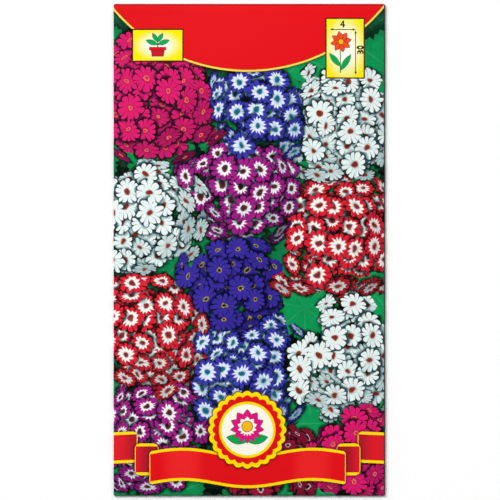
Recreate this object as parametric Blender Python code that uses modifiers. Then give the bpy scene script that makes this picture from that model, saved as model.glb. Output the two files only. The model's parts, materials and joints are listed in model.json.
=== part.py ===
"""Printed paper seed packet, lying on its back with its printed face up.

One sheet of paper is folded round all four sides of the front panel. The two side
flaps lap in a seam down the middle of the back, and the bottom and top flaps fold
over them. Inside lies a film sachet with its mouth folded over, and in it the seeds.

Frame: metres, +Z up out of the printed face, +Y towards the packet's top edge,
origin on the surface that the packet lies on, under its middle.
"""

import math
import random

import bmesh
import bpy
from mathutils import Matrix, Vector

MM = 0.001

# Driving dimensions of the packet
PACKET_WIDTH = 80 * MM
PACKET_HEIGHT = 145 * MM
PAPER = 0.12 * MM
GLUE_GAP = 0.08 * MM
RIM_HEIGHT = 0.80 * MM
BULGE = 2.2 * MM

SEAM_LAP = 10 * MM
SEAM_JOG = 2 * MM
BOTTOM_FLAP = 13 * MM
TOP_FLAP = 22 * MM
FLAP_TAPER = 7 * MM
SIDE_FLAP_TAPER = 0.6 * MM

PANEL_COLUMNS = 14
PANEL_ROWS = 24
FOLD_STEPS = 4

# Driving dimensions of the film sachet
SACHET_WIDTH = 46 * MM
SACHET_LENGTH = 62 * MM
SACHET_BOTTOM_Y = 14 * MM
SACHET_FILM = 0.06 * MM
SACHET_GAP = 0.15 * MM
SACHET_BULGE = 1.35 * MM
SACHET_COLUMNS = 10
POCKET_ROWS = 10
MOUTH_FOLD = 9 * MM
MOUTH_FOLD_STEPS = 4
MOUTH_LIFT = 0.26 * MM

# Driving dimensions of a seed
SEED_LENGTH = 2.0 * MM
SEED_WIDTH = 0.62 * MM
SEED_THICKNESS = 0.50 * MM
SEED_RIBS = 5
SEED_RINGS = 6
SEED_GROOVE = 0.18
SEED_NARROWING = 0.22
SEED_BEND = 0.12 * MM
SEED_COLUMNS = 4
SEED_ROWS = 6
SEED_COLUMN_PITCH = 4.6 * MM
SEED_ROW_PITCH = 4.4 * MM
SEED_JITTER = 0.9 * MM
RANDOM_SEED = 7

CLEARANCE = 0.30 * MM

# Places that follow from the driving dimensions
LAYER = PAPER + GLUE_GAP
END_FLAP_LEVEL = PAPER / 2
BACK_LEVEL = END_FLAP_LEVEL + LAYER
SEAM_LEVEL = BACK_LEVEL + LAYER
SIDE_FOLD_RADIUS = (RIM_HEIGHT - BACK_LEVEL) / 2
END_FOLD_RADIUS = (RIM_HEIGHT - END_FLAP_LEVEL) / 2
FOLD_SKIN = PAPER / 2 / math.cos(math.pi / (2 * FOLD_STEPS))
PANEL_HALF_WIDTH = PACKET_WIDTH / 2 - SIDE_FOLD_RADIUS - FOLD_SKIN
PANEL_HALF_HEIGHT = PACKET_HEIGHT / 2 - END_FOLD_RADIUS - FOLD_SKIN
INNER_FLOOR = SEAM_LEVEL + PAPER / 2
SACHET_FLOOR = INNER_FLOOR + CLEARANCE + SACHET_FILM / 2
SACHET_MIDDLE_Y = SACHET_BOTTOM_Y + SACHET_LENGTH / 2 - PACKET_HEIGHT / 2
POCKET_LENGTH = SACHET_LENGTH - MOUTH_FOLD
POCKET_MIDDLE_Y = -MOUTH_FOLD / 2
SEED_LEVEL = SACHET_FLOOR + SACHET_FILM / 2 + CLEARANCE + SEED_THICKNESS / 2


def clear_scene():
    for old in list(bpy.data.objects):
        bpy.data.objects.remove(old)


def principled(name, colour, roughness):
    material = bpy.data.materials.new(name)
    material.use_nodes = True
    shader = material.node_tree.nodes["Principled BSDF"]
    shader.inputs["Base Color"].default_value = (*colour, 1.0)
    shader.inputs["Roughness"].default_value = roughness
    shader.inputs["Metallic"].default_value = 0.0
    return material


def node_from(bm, name, material, collection):
    """Turns a bmesh into one named object in the packet's collection."""
    mesh = bpy.data.meshes.new(name)
    bm.to_mesh(mesh)
    bm.free()
    node = bpy.data.objects.new(name, mesh)
    node.data.materials.append(material)
    collection.objects.link(node)
    return node


def give_thickness(node, thickness):
    shell = node.modifiers.new("sheet_thickness", "SOLIDIFY")
    shell.thickness = thickness
    shell.offset = 0.0
    shell.use_even_offset = True
    shell.use_rim = True


# The envelope


def front_height(x, y):
    """Height of the front panel's middle layer: it swells from its four straight edges."""
    across = 1 - (x / PANEL_HALF_WIDTH) ** 2
    along = 1 - (y / PANEL_HALF_HEIGHT) ** 4
    return RIM_HEIGHT + BULGE * across * along


def edges_at(bm, axis, value):
    """The panel's open edges whose two ends both lie at this value of the axis."""
    return [
        edge
        for edge in bm.edges
        if edge.is_boundary
        and all(math.isclose(vert.co[axis], value, abs_tol=0.01 * MM) for vert in edge.verts)
    ]


def run_on(bm, edges, step):
    """Extends the sheet from these edges by a straight step, and returns the new edges and vertices."""
    made = bmesh.ops.extrude_edge_only(bm, edges=edges)["geom"]
    new_verts = [item for item in made if isinstance(item, bmesh.types.BMVert)]
    new_edges = [
        item
        for item in made
        if isinstance(item, bmesh.types.BMEdge) and all(vert in new_verts for vert in item.verts)
    ]
    bmesh.ops.translate(bm, verts=new_verts, vec=step)
    return new_edges, new_verts


def fold_under(bm, edges, outward, radius):
    """Rolls the sheet half a turn down round a fold line just under these edges."""
    on_edge = edges[0].verts[0].co
    centre = Vector((on_edge.x, on_edge.y, RIM_HEIGHT - radius))
    axis = outward.cross(Vector((0, 0, -1)))
    turned = bmesh.ops.spin(
        bm,
        geom=edges,
        cent=centre,
        axis=axis,
        angle=math.pi,
        steps=FOLD_STEPS,
        use_duplicate=False,
    )
    return [item for item in turned["geom_last"] if isinstance(item, bmesh.types.BMEdge)]


def taper_end(verts, along, full_half, cut):
    """Draws the ends of a flap's free edge in, by the same cut at either end."""
    for vert in verts:
        vert.co[along] *= 1 - cut / full_half


def add_side_flaps(bm, left_edges, right_edges):
    """Folds both sides under. The right flap lies outside, and the left one steps up to lap over it."""
    reach = PANEL_HALF_WIDTH + SEAM_LAP / 2

    right_fold = fold_under(bm, right_edges, Vector((1, 0, 0)), SIDE_FOLD_RADIUS)
    free_verts = run_on(bm, right_fold, Vector((-reach, 0, 0)))[1]
    taper_end(free_verts, 1, PANEL_HALF_HEIGHT, SIDE_FLAP_TAPER)

    left_fold = fold_under(bm, left_edges, Vector((-1, 0, 0)), SIDE_FOLD_RADIUS)
    to_jog = reach - SEAM_LAP - SEAM_JOG * 1.5
    before_jog = run_on(bm, left_fold, Vector((to_jog, 0, 0)))[0]
    after_jog = run_on(bm, before_jog, Vector((SEAM_JOG, 0, SEAM_LEVEL - BACK_LEVEL)))[0]
    free_verts = run_on(bm, after_jog, Vector((reach - to_jog - SEAM_JOG, 0, 0)))[1]
    taper_end(free_verts, 1, PANEL_HALF_HEIGHT, SIDE_FLAP_TAPER)


def add_end_flap(bm, edges, outward, length):
    """Folds one end under, and on over both side flaps."""
    fold = fold_under(bm, edges, outward, END_FOLD_RADIUS)
    free_verts = run_on(bm, fold, -length * outward)[1]
    taper_end(free_verts, 0, PANEL_HALF_WIDTH, FLAP_TAPER)


def make_envelope(material, collection):
    bm = bmesh.new()
    panel = bmesh.ops.create_grid(bm, x_segments=PANEL_COLUMNS, y_segments=PANEL_ROWS, size=1.0)
    bmesh.ops.scale(bm, verts=panel["verts"], vec=(PANEL_HALF_WIDTH, PANEL_HALF_HEIGHT, 1))
    for vert in panel["verts"]:
        vert.co.z = front_height(vert.co.x, vert.co.y)

    left_edges = edges_at(bm, 0, -PANEL_HALF_WIDTH)
    right_edges = edges_at(bm, 0, PANEL_HALF_WIDTH)
    bottom_edges = edges_at(bm, 1, -PANEL_HALF_HEIGHT)
    top_edges = edges_at(bm, 1, PANEL_HALF_HEIGHT)
    add_side_flaps(bm, left_edges, right_edges)
    add_end_flap(bm, bottom_edges, Vector((0, -1, 0)), BOTTOM_FLAP)
    add_end_flap(bm, top_edges, Vector((0, 1, 0)), TOP_FLAP)

    bmesh.ops.recalc_face_normals(bm, faces=bm.faces[:])
    envelope = node_from(bm, "envelope", material, collection)
    give_thickness(envelope, PAPER)


# The sachet


def cut_rows(bm, axis, places):
    """Scores the sachet's walls with a row of edges at each place along an axis."""
    normal = Vector((0, 0, 0))
    normal[axis] = 1
    for place in places:
        walls = bm.verts[:] + bm.edges[:] + bm.faces[:]
        bmesh.ops.bisect_plane(bm, geom=walls, plane_co=normal * place, plane_no=normal)


def roll_mouth(bm, fold_y, radius):
    """Rolls the film past the fold half a turn up and back over the sachet."""
    centre_z = SACHET_FLOOR + SACHET_GAP + radius
    arc = math.pi * radius
    for vert in bm.verts:
        past = vert.co.y - fold_y
        if past <= 0:
            continue
        from_centre = centre_z - vert.co.z
        angle = math.pi * min(past / arc, 1)
        straight = max(past - arc, 0)
        vert.co.y = fold_y + from_centre * math.sin(angle) - straight
        vert.co.z = centre_z - from_centre * math.cos(angle)


def swell_top_film(bm):
    """Lifts the upper film over the seeds, and leaves it flat at the sides, bottom and mouth."""
    for vert in bm.verts:
        if vert.co.z < SACHET_FLOOR + SACHET_GAP / 2:
            continue
        across = 1 - min(abs(vert.co.x) / (SACHET_WIDTH / 2), 1) ** 2
        along = 1 - min(abs(vert.co.y - POCKET_MIDDLE_Y) / (POCKET_LENGTH / 2), 1) ** 4
        vert.co.z += SACHET_BULGE * across * along


def make_sachet(material, collection):
    """A flat film bag, closed at its bottom and sides, with its open mouth folded over on top."""
    radius = MOUTH_LIFT / 2 + SACHET_GAP / 2
    arc = math.pi * radius
    fold_y = SACHET_LENGTH / 2
    full_length = SACHET_LENGTH + arc + MOUTH_FOLD

    bm = bmesh.new()
    box = bmesh.ops.create_cube(bm, size=1.0)["verts"]
    bmesh.ops.scale(bm, verts=box, vec=(SACHET_WIDTH, full_length, SACHET_GAP))
    to_floor = Vector((0, (full_length - SACHET_LENGTH) / 2, SACHET_FLOOR + SACHET_GAP / 2))
    bmesh.ops.translate(bm, verts=box, vec=to_floor)
    mouth_y = max(vert.co.y for vert in bm.verts)
    mouth = [face for face in bm.faces if all(vert.co.y > mouth_y - 0.01 * MM for vert in face.verts)]
    bmesh.ops.delete(bm, geom=mouth, context="FACES_ONLY")

    column = SACHET_WIDTH / SACHET_COLUMNS
    cut_rows(bm, 0, [column * (step - SACHET_COLUMNS / 2) for step in range(1, SACHET_COLUMNS)])
    row = POCKET_LENGTH / POCKET_ROWS
    cut_rows(bm, 1, [row * step - SACHET_LENGTH / 2 for step in range(1, POCKET_ROWS + 1)])
    roll_row = arc / MOUTH_FOLD_STEPS
    cut_rows(bm, 1, [fold_y + roll_row * step for step in range(MOUTH_FOLD_STEPS + 1)])

    swell_top_film(bm)
    roll_mouth(bm, fold_y, radius)
    bmesh.ops.translate(bm, verts=bm.verts[:], vec=(0, SACHET_MIDDLE_Y, 0))
    bmesh.ops.recalc_face_normals(bm, faces=bm.faces[:])
    sachet = node_from(bm, "inner_sachet", material, collection)
    give_thickness(sachet, SACHET_FILM)


# The seeds


def shape_seed(vert):
    """A slim ribbed seed along X: blunt at one end, narrower at the other, and slightly bowed."""
    along = vert.co.x
    turn = math.atan2(vert.co.y, -vert.co.z)
    rib = 1 - SEED_GROOVE * (0.5 - 0.5 * math.cos(SEED_RIBS * turn))
    narrowing = 1 - SEED_NARROWING * along
    vert.co.x = along * SEED_LENGTH / 2
    vert.co.y = vert.co.y * rib * narrowing * SEED_WIDTH / 2 + SEED_BEND * along * along
    vert.co.z = vert.co.z * rib * narrowing * SEED_THICKNESS / 2


def make_seed(number, place, yaw, material, collection):
    bm = bmesh.new()
    bmesh.ops.create_uvsphere(bm, u_segments=2 * SEED_RIBS, v_segments=SEED_RINGS, radius=1.0)
    bmesh.ops.rotate(bm, verts=bm.verts[:], matrix=Matrix.Rotation(math.pi / 2, 3, "Y"))
    for vert in bm.verts:
        shape_seed(vert)
    seed = node_from(bm, f"seed_{number:02d}", material, collection)
    seed.location = place
    seed.rotation_euler = (0, 0, yaw)


def make_seeds(material, collection):
    """Seeds scattered over loose rows in the sachet's pocket, each lying flat on the lower film."""
    scatter = random.Random(RANDOM_SEED)
    pocket = Vector((0, SACHET_MIDDLE_Y + POCKET_MIDDLE_Y, SEED_LEVEL))
    for number in range(SEED_COLUMNS * SEED_ROWS):
        column, row = divmod(number, SEED_ROWS)
        x = (column - (SEED_COLUMNS - 1) / 2) * SEED_COLUMN_PITCH
        y = (row - (SEED_ROWS - 1) / 2) * SEED_ROW_PITCH
        stray = Vector((scatter.uniform(-1, 1), scatter.uniform(-1, 1), 0)) * SEED_JITTER
        place = pocket + Vector((x, y, 0)) + stray
        make_seed(number + 1, place, scatter.uniform(0, math.pi), material, collection)


def main():
    clear_scene()
    collection = bpy.data.collections.new("seed_packet")
    bpy.context.scene.collection.children.link(collection)

    printed_paper = principled("printed_paper", (0.83, 0.05, 0.07), 0.35)
    clear_film = principled("clear_film", (0.86, 0.88, 0.90), 0.25)
    seed_coat = principled("seed_coat", (0.10, 0.06, 0.035), 0.75)

    make_envelope(printed_paper, collection)
    make_sachet(clear_film, collection)
    make_seeds(seed_coat, collection)


main()
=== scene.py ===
"""Looks of the paper seed packet: its folded sheet, its print, the film sachet and the seeds.

The sheet is cut and creased flat, so that the print can be laid out on it, and then folded.
Shapes are in metres. The print is laid out in millimetres on the flat sheet, from the middle
of the front panel, +Y towards the packet's top edge.
"""

import json
import math

import bmesh
import bpy
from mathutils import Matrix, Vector, noise

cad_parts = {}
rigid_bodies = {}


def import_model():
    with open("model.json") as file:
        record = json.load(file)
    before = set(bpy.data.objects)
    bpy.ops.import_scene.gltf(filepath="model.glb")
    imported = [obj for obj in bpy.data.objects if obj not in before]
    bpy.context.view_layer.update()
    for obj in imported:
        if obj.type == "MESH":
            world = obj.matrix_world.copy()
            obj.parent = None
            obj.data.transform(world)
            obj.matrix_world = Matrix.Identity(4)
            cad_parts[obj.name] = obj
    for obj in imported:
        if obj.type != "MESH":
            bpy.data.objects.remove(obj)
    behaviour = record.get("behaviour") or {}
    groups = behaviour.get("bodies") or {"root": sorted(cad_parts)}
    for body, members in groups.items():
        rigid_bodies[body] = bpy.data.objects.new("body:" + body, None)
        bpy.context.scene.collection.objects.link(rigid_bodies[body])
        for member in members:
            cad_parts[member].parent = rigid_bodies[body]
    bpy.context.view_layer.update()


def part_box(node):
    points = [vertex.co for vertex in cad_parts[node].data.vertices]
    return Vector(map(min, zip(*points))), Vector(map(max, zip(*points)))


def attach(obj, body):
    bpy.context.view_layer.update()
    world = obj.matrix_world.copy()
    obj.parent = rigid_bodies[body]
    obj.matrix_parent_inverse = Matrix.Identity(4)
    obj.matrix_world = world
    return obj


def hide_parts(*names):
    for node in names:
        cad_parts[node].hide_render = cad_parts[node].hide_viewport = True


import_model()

MM = 0.001

# ---------------------------------------------------------------- the packet's sizes, in metres

PACKET_LOW, PACKET_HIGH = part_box("envelope")
SACHET_LOW, SACHET_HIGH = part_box("inner_sachet")
PAPER = 0.12 * MM
GLUE_GAP = 0.08 * MM
RIM_HEIGHT = 0.80 * MM
BULGE = PACKET_HIGH.z - RIM_HEIGHT - PAPER / 2
SEAM_LAP = 10 * MM
SEAM_JOG = 3 * MM
SEAM_JOG_START = SEAM_JOG * 1.4
BOTTOM_FLAP = 13 * MM
TOP_FLAP = 22 * MM
FLAP_TAPER = 7 * MM
SIDE_FLAP_TAPER = 0.6 * MM

LAYER = PAPER + GLUE_GAP
END_FLAP_LEVEL = PAPER / 2
BACK_LEVEL = END_FLAP_LEVEL + LAYER
SIDE_FOLD = (RIM_HEIGHT - BACK_LEVEL) / 2
END_FOLD = (RIM_HEIGHT - END_FLAP_LEVEL) / 2
SIDE_ARC = math.pi * SIDE_FOLD
END_ARC = math.pi * END_FOLD
HALF_WIDTH = PACKET_HIGH.x - SIDE_FOLD - PAPER / 2
HALF_HEIGHT = PACKET_HIGH.y - END_FOLD - PAPER / 2
SIDE_REACH = HALF_WIDTH + SEAM_LAP / 2

GRID_PITCH = 1.25 * MM
NEAR = PAPER / 100
FOLD_STEPS = 8
BLEED = 2 * GRID_PITCH
CORNER_GAP = 0.75 * PAPER
# How flat the front's swell is in its middle, across and along: 2 is a parabola.
SWELL_ACROSS = 2
SWELL_ALONG = 4
RIPPLE = 0.07 * MM
RIPPLE_PITCH = 21 * MM
SACHET_RIDGE = 0.10 * MM
SACHET_SOFTNESS = 2.5 * MM
SMOOTH_UNDER = math.radians(35)

# ---------------------------------------------------------------- the camera's frame and lens

# The frame's side, and where the packet's outline falls in it, in pixels from its top left corner
FRAME_PIXELS = 500
PACKET_PIXELS = {"left": 113.7, "right": 384.9, "top": 3.7, "bottom": 495.9}
LENS = 150 * MM
SENSOR = 36 * MM
CLIP_START = 0.01


# ================================================================ materials as expressions

SHEET_MAP = "flat_sheet"
BLACK = (0.0, 0.0, 0.0, 1.0)
MIDDLE_GREY = (0.5, 0.5, 0.5)
NOISE_DETAIL = 2.0
# A noise's colour seldom strays further than a quarter from grey.
DRIFT_GAIN = 4


class Value:
    """A number, vector or colour in a material. Its operators add Math and Vector Math nodes."""

    def __init__(self, paint, socket):
        self.paint = paint
        self.socket = socket
        self.is_vector = socket.type != "VALUE"

    def math(self, operation, *others):
        """A Math node on this value and others."""
        sockets = dict(enumerate([self, *others]))
        return self.paint.node("ShaderNodeMath", {"operation": operation}, sockets)

    def vector(self, operation, *others, output="Vector"):
        """A Vector Math node on this value and others."""
        sockets = dict(enumerate([self, *others]))
        return self.paint.node("ShaderNodeVectorMath", {"operation": operation}, sockets, output)

    def join(self, operation, other):
        """The same operation on a number or on a vector."""
        return self.vector(operation, other) if self.is_vector else self.math(operation, other)

    def __add__(self, other):
        return self.join("ADD", other)

    __radd__ = __add__

    def __sub__(self, other):
        return self.join("SUBTRACT", other)

    def __rsub__(self, other):
        return (self * -1) + other

    def __mul__(self, other):
        if not self.is_vector:
            return self.math("MULTIPLY", other)
        if isinstance(other, tuple) or getattr(other, "is_vector", False):
            return self.vector("MULTIPLY", other)
        return self.paint.node("ShaderNodeVectorMath", {"operation": "SCALE"}, {0: self, "Scale": other})

    __rmul__ = __mul__

    def __truediv__(self, other):
        return self.math("DIVIDE", other)

    def __rtruediv__(self, other):
        return self.paint.node("ShaderNodeMath", {"operation": "DIVIDE"}, {0: other, 1: self})

    def __pow__(self, other):
        return self.math("POWER", other)

    def __neg__(self):
        return self * -1

    def __lt__(self, other):
        return self.math("LESS_THAN", other)

    def __gt__(self, other):
        return self.math("GREATER_THAN", other)

    def __abs__(self):
        return self.math("ABSOLUTE")

    def lowest(self, other):
        return self.math("MINIMUM", other)

    def highest(self, other):
        return self.math("MAXIMUM", other)

    def dot(self, other):
        return self.vector("DOT_PRODUCT", other, output="Value")

    def length(self):
        return self.vector("LENGTH", output="Value")

    def split(self):
        """The three parts of a vector or colour."""
        return self.paint.node("ShaderNodeSeparateXYZ", None, {0: self}, ("X", "Y", "Z"))

    def heading(self):
        """Which way a place lies from the origin, in radians."""
        x, y, _ = self.split()
        return y.math("ARCTAN2", x)

    def zigzag(self):
        """0 at each whole number, 1 halfway between two, and straight between them."""
        return self.math("PINGPONG", 0.5) * 2.0

    def grade(self, least, more):
        """From the least, where this value is 0, to that much more, where it is 1."""
        return least + self * more

    def rise(self, low, high):
        """0 at low and 1 at high, smooth between them. It falls where low is the larger."""
        sockets = {"Value": self, "From Min": low, "From Max": high}
        return self.paint.node("ShaderNodeMapRange", {"interpolation_type": "SMOOTHSTEP"}, sockets)


class Paint:
    """A material or a world, whose nodes come from expressions on its values."""

    def __init__(self, owner, shader="Principled BSDF"):
        self.owner = owner
        self.owner.use_nodes = True
        self.tree = self.owner.node_tree
        self.shader = self.tree.nodes[shader]

    def node(self, kind, settings=None, sockets=None, output=0):
        """Adds a node, sets it, fills or links its sockets, and gives back one output, or several."""
        made = self.tree.nodes.new(kind)
        for name, setting in (settings or {}).items():
            if name == "stops":
                self.set_stops(made.color_ramp, *setting)
            else:
                setattr(made, name, setting)
        for key, filling in (sockets or {}).items():
            self.fill(made.inputs[key], filling)
        if isinstance(output, tuple):
            return [Value(self, made.outputs[name]) for name in output]
        return Value(self, made.outputs[output])

    def fill(self, socket, filling):
        """Links a value to a socket, or writes a plain number or colour in it."""
        if isinstance(filling, Value):
            self.tree.links.new(filling.socket, socket)
        else:
            socket.default_value = filling

    def set_stops(self, ramp, interpolation, stops):
        """Gives a ramp its stops, each a position and a colour."""
        ramp.interpolation = interpolation
        while len(ramp.elements) < len(stops):
            ramp.elements.new(1.0)
        for number, (position, colour) in enumerate(stops):
            ramp.elements[number].position = position
            ramp.elements[number].color = colour

    def steps(self, number, colours):
        """The colour in the list that a whole number points at."""
        place = (number + 0.5) * (1 / len(colours))
        stops = [(step / len(colours), colour) for step, colour in enumerate(colours)]
        return self.node("ShaderNodeValToRGB", {"stops": ("CONSTANT", stops)}, {"Fac": place})

    def mix(self, factor, low, high):
        """Between two colours. A Mix node's sockets share their names, so they go by number."""
        sockets = {0: factor, 6: low, 7: high}
        return self.node("ShaderNodeMix", {"data_type": "RGBA"}, sockets, 2)

    def choose(self, factor, low, high):
        """Between two vectors."""
        sockets = {0: factor, 4: low, 5: high}
        return self.node("ShaderNodeMix", {"data_type": "VECTOR"}, sockets, 1)

    def shade(self, colour, brightness):
        """The colour at a brightness from 0, black, to 1."""
        return self.mix(brightness, BLACK, colour)

    def finish(self, looks):
        """Fills sockets of the shader itself, and gives back the finished material or world."""
        for name, filling in looks.items():
            self.fill(self.shader.inputs[name], filling)
        return self.owner

    def vector(self, x, y, z=0.0):
        """A vector from its three parts."""
        return self.node("ShaderNodeCombineXYZ", None, {0: x, 1: y, 2: z})

    def cells(self, place, pitch, shift, spread, feature="F1"):
        """Points strewn one to a cell: the nearest one's place and its three chances."""
        settings = {"voronoi_dimensions": "2D", "feature": feature}
        sockets = {"Vector": place + (shift[0], shift[1], 0.0), "Scale": 1 / pitch, "Randomness": spread}
        point, chance = self.node("ShaderNodeTexVoronoi", settings, sockets, ("Position", "Color"))
        return point - (shift[0], shift[1], 0.0), chance

    def noise(self, place, pitch):
        """Soft noise from 0 to 1, with humps about this far apart."""
        sockets = {"Vector": place, "Scale": 1 / pitch, "Detail": NOISE_DETAIL}
        return self.node("ShaderNodeTexNoise", {"noise_dimensions": "2D"}, sockets, "Fac")

    def strayed(self, place, pitch, stray):
        """A place moved by up to about this far, so that what is drawn there grows irregular."""
        settings = {"noise_dimensions": "2D"}
        sockets = {"Vector": place, "Scale": 1 / pitch, "Detail": 0.0}
        drift = self.node("ShaderNodeTexNoise", settings, sockets, "Color")
        return place + (drift - MIDDLE_GREY) * (stray * DRIFT_GAIN)

    def flat_sheet(self):
        """The place on the flat sheet, in millimetres from the middle of the front panel."""
        return self.node("ShaderNodeUVMap", {"uv_map": SHEET_MAP}) * (1 / MM)

    def on_piece(self):
        """The place on a piece, in millimetres."""
        return self.node("ShaderNodeTexCoord", output="Object") * (1 / MM)


def ink(code):
    """A colour as the screen shows it, such as ED1C24, as the numbers that a shader takes."""
    parts = [int(code[start : start + 2], 16) / 255 for start in (0, 2, 4)]
    linear = [part / 12.92 if part <= 0.04045 else ((part + 0.055) / 1.055) ** 2.4 for part in parts]
    return (*linear, 1.0)


# ================================================================ the print, in millimetres

RED = ink("E21019")
DEEP_RED = ink("C41A2C")
YELLOW = ink("FFDD00")
LINE_YELLOW = ink("FFD754")
CARD_YELLOW = ink("F7E900")
CARD_WHITE = ink("FFFFF2")
OUTLINE = ink("4A1205")
NUMERAL_INK = ink("1C0A04")
LEAF_GREEN = ink("00A651")
STEM_GREEN = ink("2F8A32")
ORANGE = ink("F04E23")
GOLD = ink("FFB81C")
CREAM = ink("FFFBEA")
PINK = ink("E0127E")
WATER_BLUE = ink("2A8FC8")
PALE_GREEN = ink("E3F1DD")
LINE_GREY = ink("A9ADA3")
HILL_GREEN = ink("8CC97A")
FOOT_GREEN = ink("2E9B52")
FLAP_GREEN = ink("26854A")
PAPER_WHITE = ink("F7F6F1")

# Each strain of flower: petal tip, petal base, eye, rim of the eye, and then how far out the
# base colour reaches, how dark the gaps between petals are and how wide the eye is, from 0 to 1.
TIP, BASE, EYE, RIM, HABIT = range(5)
STRAINS = {
    "magenta": ("A31D86", "FFF4FA", "43202A", "7A4038", (0.50, 0.62, 0.24)),
    "scarlet": ("DC1F34", "FFF6F0", "7E2228", "B5524A", (0.54, 0.60, 0.23)),
    "white": ("DDEBEA", "E9F3F1", "7C2A22", "B4502E", (0.90, 0.50, 0.22)),
    "blue": ("3A3AAA", "DFE8FD", "0E5F78", "2E8C9A", (0.58, 0.60, 0.22)),
    "pink": ("DC1A6C", "DA1A56", "D8226A", "F58A3C", (0.30, 0.55, 0.20)),
    "crimson": ("9C1538", "8E1234", "2A0A16", "F4D6DC", (0.30, 0.68, 0.26)),
    "indigo": ("3A2C9C", "4A35AA", "1C2418", "C8B43C", (0.30, 0.66, 0.19)),
}

# Domes of flowers: the middle, x and y, the radius and the strain
DOMES = [
    (-27.0, 45.0, 17.5, "pink"),
    (3.0, 41.0, 13.5, "blue"),
    (29.0, 36.0, 17.5, "white"),
    (-2.0, 18.5, 15.5, "magenta"),
    (-31.0, 9.0, 16.5, "white"),
    (26.5, 3.0, 17.5, "scarlet"),
    (-4.0, -11.5, 14.0, "indigo"),
    (-30.0, -25.0, 16.5, "scarlet"),
    (29.0, -31.0, 17.0, "white"),
    (0.0, -37.0, 15.5, "blue"),
    (-27.0, -54.0, 15.0, "magenta"),
    (4.0, -67.0, 13.0, "crimson"),
    (31.0, -61.0, 14.0, "pink"),
]

# The domes' places and radii as the colours of a ramp, which go from 0 to 1 across this span
DOME_SPAN = 200.0
DOME_SEATS = [
    (x / DOME_SPAN + 0.5, y / DOME_SPAN + 0.5, radius / DOME_SPAN, 1.0) for x, y, radius, _ in DOMES
]

# A dome's edge: the pitch and depth of its bays, and where it ends, in radii, with how ragged
DOME_BAYS = (15.0, 3.4)
DOME_END = 1.06
RAGGED = 0.20

# The lattices that florets grow on: the pitch, where it starts and how freely they stray
TOP_LATTICE = (5.5, (71.3, 38.9), 0.72)
UNDER_LATTICE = (4.9, (12.7, 90.1), 0.75)

# One floret. A pair is the least, and how much more a chance from 0 to 1 can make it.
FLORET_RADIUS = 4.0
FLORET_SIZE = (0.82, 0.3)
PETAL_COUNT = (9.5, 4.0)
PETAL_ROUNDING = 0.34
SHORT_PETAL = 0.16
PETAL_CHANCES = 97.0
NOD = (0.7, 0.7, 0.0)
LEAN = (0.25, 0.45)

# The shadow that a floret casts on those below: from how far out, to where it is full, and depth
FLORET_SHADOW = (1.40, 0.92)
SHADOW_DEPTH = 0.94
UNDER_BRIGHTNESS = 0.88
GROUND_SHADOW_DEPTH = 0.97

# The streaks on petals: how many round a floret and along it, and each floret's step to its own
STREAKS_ROUND = 60.0
STREAKS_ALONG = 2.2
STREAK_STEP = 40.0

# The ring where a petal's base colour ends: how far out it is in the petal's middle, how much less
# at its sides, how far it strays and how soft it is
RING_REACH = 1.12
RING_DROOP = 0.34
RING_STRAY = 0.16
RING_SOFTNESS = 0.05

# Where the dark gaps between petals show, across them and along them, and the shaded cup
GAP_ACROSS = (0.70, 1.0)
GAP_ALONG = (0.22, 0.55)
CUP = (0.42, 0.20)
CUP_DEPTH = 0.35

# How bright each petal, streak, floret and eye is: the least, and how much more by chance. Then
# where the eye's rim is, and which streaks fleck it.
PETAL_TONE = (0.92, 0.20)
STREAK_TONE = (0.86, 0.40)
SIZE_TONE = (0.92, 0.20)
EYE_TONE = (0.75, 0.4)
EYE_RIM = (0.45, 0.80)
EYE_FLECKS = (0.35, 0.60)

# The light on a dome, and the powers that make its shade a little bluer
LIGHT_FROM = (-0.62, 0.78)
SLOPE_LIGHT = 0.18
STEEP_SHADE = 0.24
RED_POWER = 1.3
BLUE_POWER = 0.95


def nearest_dome(place):
    """The number of the dome that a place belongs to, and how far out in it, 1 at its edge."""
    number, nearness = None, None
    for index, (x, y, radius, _) in enumerate(DOMES):
        away = (place - (x, y, 0.0)).length() * (1 / radius)
        if nearness is None:
            number, nearness = away * 0.0, away
        else:
            closer = away < nearness
            nearness = nearness.lowest(away)
            number = number * (1 - closer) + closer * float(index)
    return number, nearness


def floret(place, centre, chance):
    """One daisy floret as it lies on its dome: where a place falls in it, and whether it covers it."""
    paint = place.paint
    dome, out = nearest_dome(paint.strayed(centre, *DOME_BAYS))
    x, y, radius = paint.steps(dome, DOME_SEATS).split()
    middle = paint.vector((x - 0.5) * DOME_SPAN, (y - 0.5) * DOME_SPAN)
    nod = (chance - MIDDLE_GREY) * NOD
    tilt = (centre - middle) * (1 / (radius * DOME_SPAN)) + nod
    steepness = tilt.dot(tilt)
    offset = place - centre
    stretch = offset.dot(tilt) * steepness.grade(*LEAN)
    offset = offset + tilt * stretch

    size, turn, count = chance.split()
    reach = offset.length() / (size.grade(*FLORET_SIZE) * FLORET_RADIUS)
    petals = count.grade(*PETAL_COUNT).math("ROUND")
    angle = offset.heading() * (1 / math.tau) + turn
    spin = angle * petals
    across = spin.zigzag()
    petal = (spin + 0.5).math("FLOOR").math("FLOORED_MODULO", petals)
    sockets = {"W": petal + size * PETAL_CHANCES}
    length = paint.node("ShaderNodeTexWhiteNoise", {"noise_dimensions": "1D"}, sockets, "Value")
    tip = 1.0 - across**4.0 * PETAL_ROUNDING - length * SHORT_PETAL
    grown = (out + (turn - 0.5) * RAGGED) < DOME_END
    return {
        "covers": (reach < tip) * grown,
        "halo": reach.rise(*FLORET_SHADOW) * grown,
        "spot": paint.vector(reach, across, dome),
        "tilt": tilt,
        "chance": paint.vector(size, length, angle),
    }


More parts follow.
